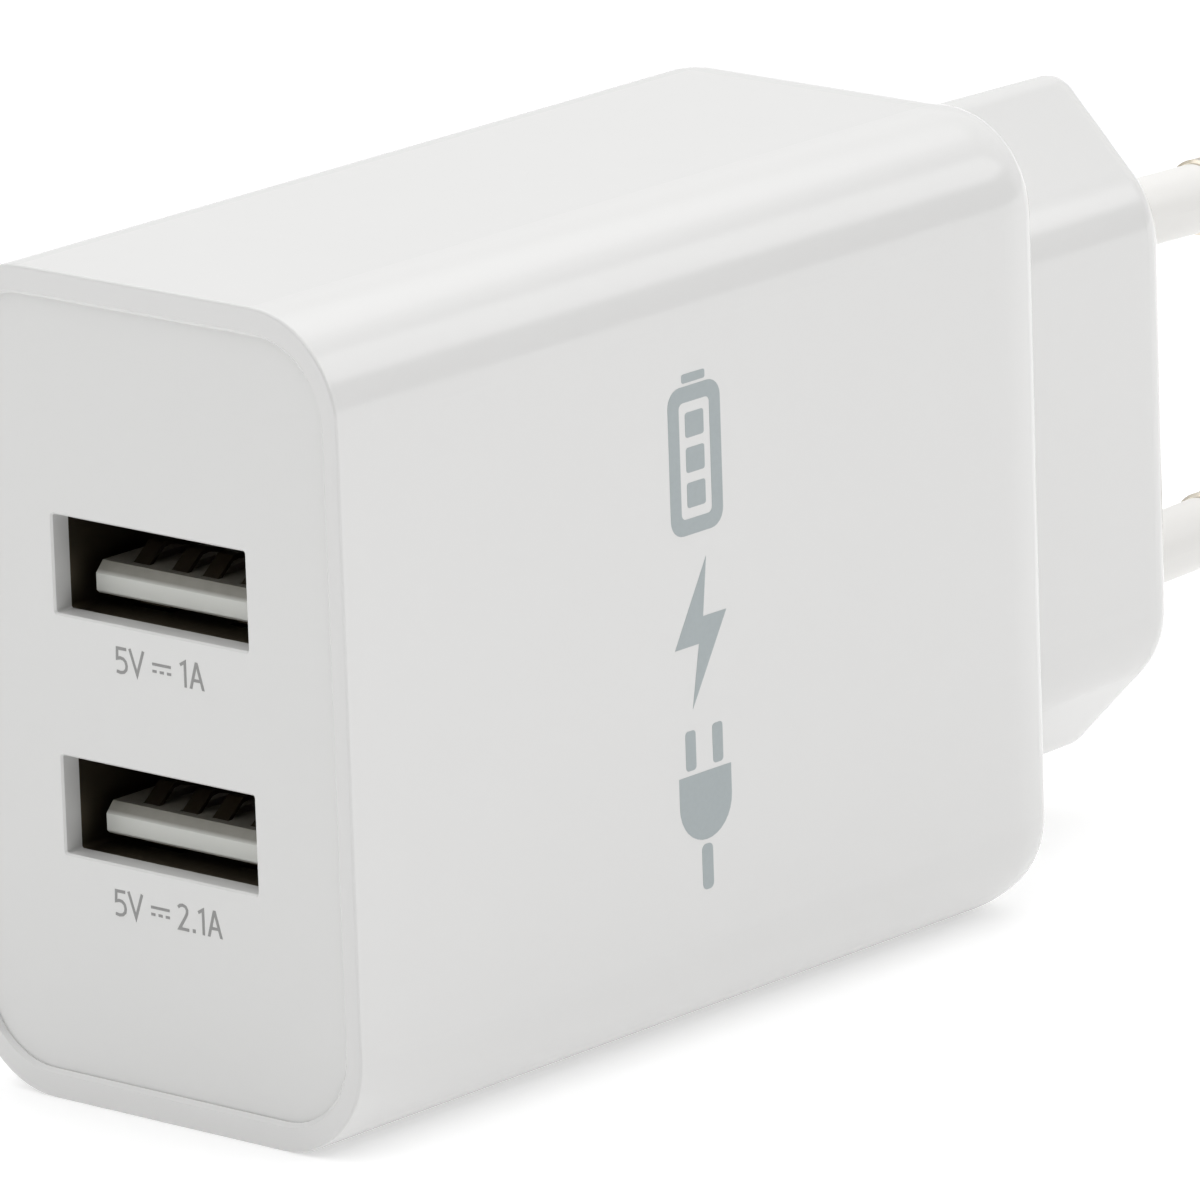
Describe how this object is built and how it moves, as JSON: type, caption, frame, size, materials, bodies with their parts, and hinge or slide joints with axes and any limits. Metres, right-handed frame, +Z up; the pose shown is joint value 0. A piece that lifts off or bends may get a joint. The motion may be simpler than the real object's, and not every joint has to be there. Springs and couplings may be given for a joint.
{
  "type": "usb wall charger",
  "caption": "White two-port USB-A wall charger: rounded rectangular body with an inset front panel and a built-on two-round-pin Europlug head.",
  "frame": {"origin": "centre of the plug's end face, the face that meets the wall socket", "axes": "+Y points into the socket along the pins, +Z is up with one port above the other, X runs through the thickness"},
  "size_m": [0.0256, 0.089, 0.0414],
  "materials": {
    "housing_plastic": "glossy off-white moulded plastic",
    "panel_plastic": "glossy off-white moulded plastic",
    "sleeve_plastic": "satin white insulation",
    "pin_metal": "nickel-plated brass",
    "port_steel": "nickel-plated stamped steel",
    "tongue_plastic": "white moulded insulator",
    "contact_gold": "plated spring alloy",
    "spring_brass": "bare spring brass",
    "board_laminate": "glass-epoxy laminate with green mask",
    "ferrite": "dull dark ferrite",
    "bobbin_plastic": "black phenolic",
    "copper_wire": "enamelled copper wire",
    "yellow_tape": "polyester tape",
    "tinned_wire": "tinned wire",
    "capacitor_sleeve": "shrink sleeve over an aluminium can",
    "resistor_lacquer": "green lacquer",
    "black_epoxy": "moulded epoxy",
    "disc_epoxy": "blue epoxy coating",
    "chip_ceramic": "ceramic chip",
    "insulating_film": "thin polyester film",
    "printed_ink": "grey pad-printed ink of the pictogram and the port captions"
  },
  "bodies": {
    "root": {"axial_leads": "tinned_wire", "bridge_rectifier": "black_epoxy", "capacitor_leads": "tinned_wire", "chip_capacitors": "chip_ceramic", "chip_legs": "tinned_wire", "chip_resistors": "black_epoxy", "controller_ic": "black_epoxy", "filter_choke_core": "ferrite", "filter_choke_leads": "tinned_wire", "filter_choke_winding": "copper_wire", "front_panel": "panel_plastic", "fuse_resistor": "resistor_lacquer", "housing_shell": "housing_plastic", "input_capacitor_lower": "capacitor_sleeve", "input_capacitor_upper": "capacitor_sleeve", "insulation_sheet": "insulating_film", "main_board": "board_laminate", "mains_contact_lower": "spring_brass", "mains_contact_upper": "spring_brass", "optocoupler": "black_epoxy", "optocoupler_legs": "tinned_wire", "output_capacitor_lower": "capacitor_sleeve", "output_capacitor_upper": "capacitor_sleeve", "output_diode": "black_epoxy", "pin_lower": "pin_metal", "pin_sleeve_lower": "sleeve_plastic", "pin_sleeve_upper": "sleeve_plastic", "pin_upper": "pin_metal", "port_detect_ic": "black_epoxy", "transformer_bobbin": "bobbin_plastic", "transformer_core_front": "ferrite", "transformer_core_rear": "ferrite", "transformer_pins": "tinned_wire", "transformer_tape": "yellow_tape", "transformer_winding": "copper_wire", "usb_contacts_lower": "contact_gold", "usb_contacts_upper": "contact_gold", "usb_insulator_lower": "tongue_plastic", "usb_insulator_upper": "tongue_plastic", "usb_shell_lower": "port_steel", "usb_shell_upper": "port_steel", "y_capacitor": "disc_epoxy", "y_capacitor_leads": "tinned_wire"}
  },
  "joints": []
}
